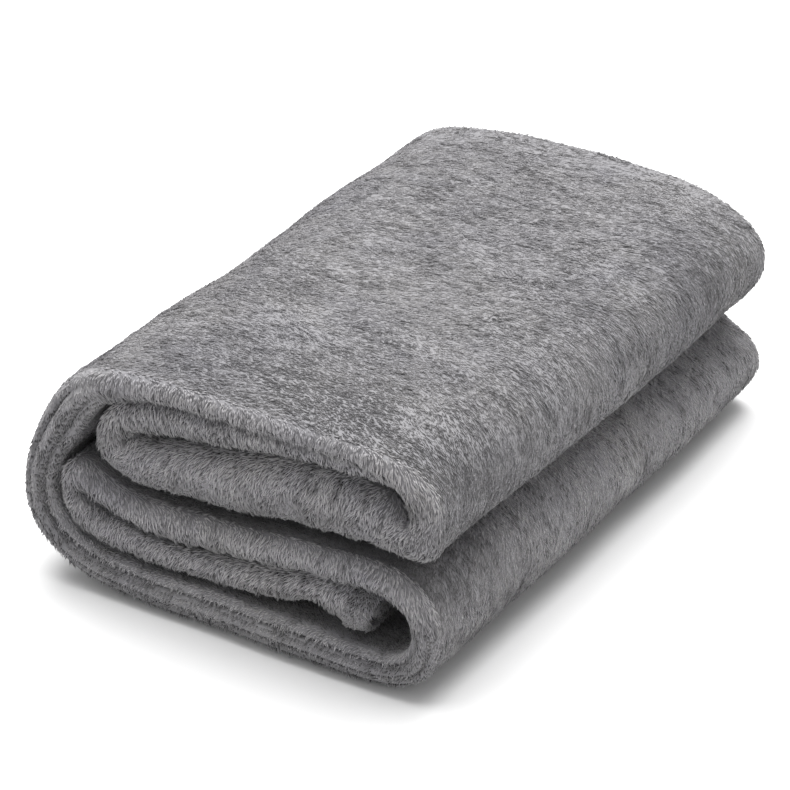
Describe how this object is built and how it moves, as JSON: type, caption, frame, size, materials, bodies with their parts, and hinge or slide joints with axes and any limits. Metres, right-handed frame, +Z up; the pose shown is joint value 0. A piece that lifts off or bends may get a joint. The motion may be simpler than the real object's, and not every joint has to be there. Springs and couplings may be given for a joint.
{
  "type": "folded throw blanket",
  "caption": "Plush fleece throw folded into a soft rectangular bundle of layered limbs with a round spine, hemmed edges and a book-like opening.",
  "frame": {"origin": "middle of the bundle's footprint, on the surface it rests on", "axes": "+X across the limbs from the round spine to the two right-hand bends, +Y along the bundle from the folded front end to the hemmed back end, +Z up"},
  "size_m": [0.256, 0.375, 0.1338],
  "materials": {
    "plush": "grey long-pile plush fleece",
    "hem": "turned hem of the same fleece, pile pressed flat by the stitching",
    "thread": "grey polyester sewing thread"
  },
  "bodies": {
    "lower_half": {"base_limb": "plush", "base_limb_hem_thread": "thread", "base_limb_side_hem_1": "hem", "base_limb_side_hem_2": "hem", "base_spine_end": "plush", "lower_edge_hem": "hem", "lower_hairpin": "plush", "lower_return_limb": "plush", "lower_return_limb_hem_thread": "thread", "lower_return_limb_side_hem_1": "hem", "lower_return_limb_side_hem_2": "hem", "lower_right_turn": "plush", "lower_tuck_limb": "plush", "lower_tuck_limb_hem_thread": "thread", "lower_tuck_limb_side_hem_1": "hem", "lower_tuck_limb_side_hem_2": "hem"},
    "spine": {"lower_spine_corner": "plush", "spine_upright": "plush", "upper_spine_corner": "plush"},
    "upper_half": {"top_limb": "plush", "top_limb_hem_thread": "thread", "top_limb_side_hem_1": "hem", "top_limb_side_hem_2": "hem", "top_spine_end": "plush", "upper_edge_hem": "hem", "upper_hairpin": "plush", "upper_return_limb": "plush", "upper_return_limb_hem_thread": "thread", "upper_return_limb_side_hem_1": "hem", "upper_return_limb_side_hem_2": "hem", "upper_right_turn": "plush", "upper_tuck_limb": "plush", "upper_tuck_limb_hem_thread": "thread", "upper_tuck_limb_side_hem_1": "hem", "upper_tuck_limb_side_hem_2": "hem"}
  },
  "joints": [
    {"name": "lower_spine_fold", "type": "hinge", "parent": "lower_half", "child": "spine", "pos_m": [-0.11482, 0, 0.01318], "axis": [0, -1, 0], "range_deg": [0, 90]},
    {"name": "upper_spine_fold", "type": "hinge", "parent": "spine", "child": "upper_half", "pos_m": [-0.11482, 0, 0.12062], "axis": [0, -1, 0], "range_deg": [0, 90]}
  ],
  "couplings": [
    {"joint": "upper_spine_fold", "follows": "lower_spine_fold", "ratio": 1}
  ]
}
